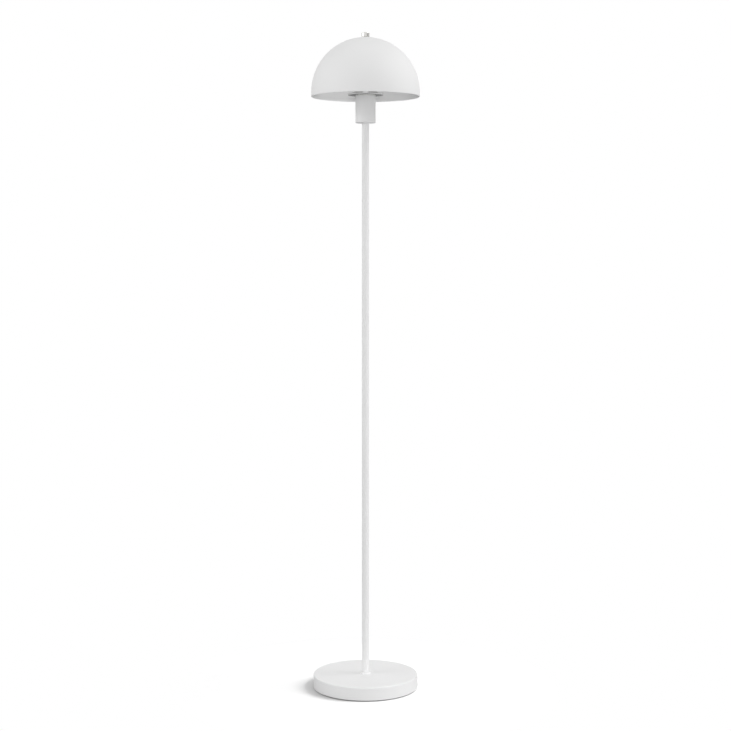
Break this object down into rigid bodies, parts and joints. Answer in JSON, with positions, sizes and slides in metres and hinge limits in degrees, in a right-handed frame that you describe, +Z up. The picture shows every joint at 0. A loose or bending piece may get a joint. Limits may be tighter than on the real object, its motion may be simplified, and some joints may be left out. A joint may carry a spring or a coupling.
{
  "type": "floor lamp",
  "caption": "Floor lamp with a half-sphere metal shade on an inner harp, a slim straight pole and a weighted round foot; the shade turns and its top knob unscrews.",
  "frame": {"origin": "on the floor, on the pole's axis", "axes": "+Z up along the pole, +Y towards the back of the foot, where the cord inlet is, +X to the right seen from the front"},
  "size_m": [0.229, 0.229, 1.4],
  "materials": {
    "white_lacquer": "matt white lacquer",
    "shade_lacquer": "matt white lacquer outside, a brighter white coat inside",
    "primed_lacquer": "matt white lacquer, with the underside left in dark primer",
    "cast_iron": "rough, primed",
    "zinc_steel": "zinc plated",
    "dark_rubber": "matt",
    "pale_rubber": "matt",
    "holder_plastic": "satin moulded",
    "contact_brass": "bright, pressed",
    "nylon": "translucent white",
    "polished_nickel": "turned and polished",
    "black_insulator": "glassy",
    "bulb_nickel": "bright",
    "bulb_plastic": "satin",
    "opal_glass": "opal"
  },
  "bodies": {
    "stand": {"base_cover": "white_lacquer", "base_weight": "cast_iron", "base_plate": "zinc_steel", "foot_ring": "dark_rubber", "plate_screws": "zinc_steel", "cord_grommet": "pale_rubber", "pole_collar": "white_lacquer", "bottom_nipple": "zinc_steel", "flat_washer": "zinc_steel", "lock_washer": "zinc_steel", "base_nut": "zinc_steel", "lower_tube": "white_lacquer", "middle_tube": "white_lacquer", "upper_tube": "white_lacquer", "tube_bushes": "zinc_steel", "joint_nipples": "zinc_steel", "top_nipple": "zinc_steel", "holder_cup": "white_lacquer", "cup_washer": "zinc_steel", "cup_nut": "zinc_steel", "holder_base": "holder_plastic", "grub_screw": "zinc_steel", "terminal_block": "holder_plastic", "terminal_screws": "zinc_steel", "side_contact": "contact_brass", "centre_contact": "contact_brass", "screw_shell": "contact_brass", "holder_shell": "holder_plastic", "shade_ring": "holder_plastic", "harp": "primed_lacquer", "shade_stud": "zinc_steel", "stud_nuts": "zinc_steel", "seat_washer": "zinc_steel"},
    "shade": {"shade": "shade_lacquer"},
    "finial_washer": {"finial_washer": "nylon"},
    "finial": {"finial": "polished_nickel"},
    "bulb": {"bulb_tip": "contact_brass", "bulb_insulator": "black_insulator", "bulb_cap": "bulb_nickel", "bulb_body": "bulb_plastic", "bulb_globe": "opal_glass"}
  },
  "joints": [
    {"name": "shade_swivel", "type": "hinge", "parent": "stand", "child": "shade", "pos_m": [0, 0, 1.3882], "axis": [0, 0, 1], "continuous": true},
    {"name": "finial_rise", "type": "slide", "parent": "stand", "child": "finial_washer", "axis": [0, 0, 1], "range_m": [0, 0.0071]},
    {"name": "finial_turn", "type": "hinge", "parent": "finial_washer", "child": "finial", "pos_m": [0, 0, 1.3902], "axis": [0, 0, 1], "range_deg": [0, 2520]},
    {"name": "bulb_draw", "type": "slide", "parent": "stand", "child": "bulb", "axis": [0, 0, 1], "range_m": [0, 0.024]}
  ],
  "couplings": [
    {"joint": "finial_rise", "follows": "finial_turn", "m_per_rad": 0.00015915}
  ]
}
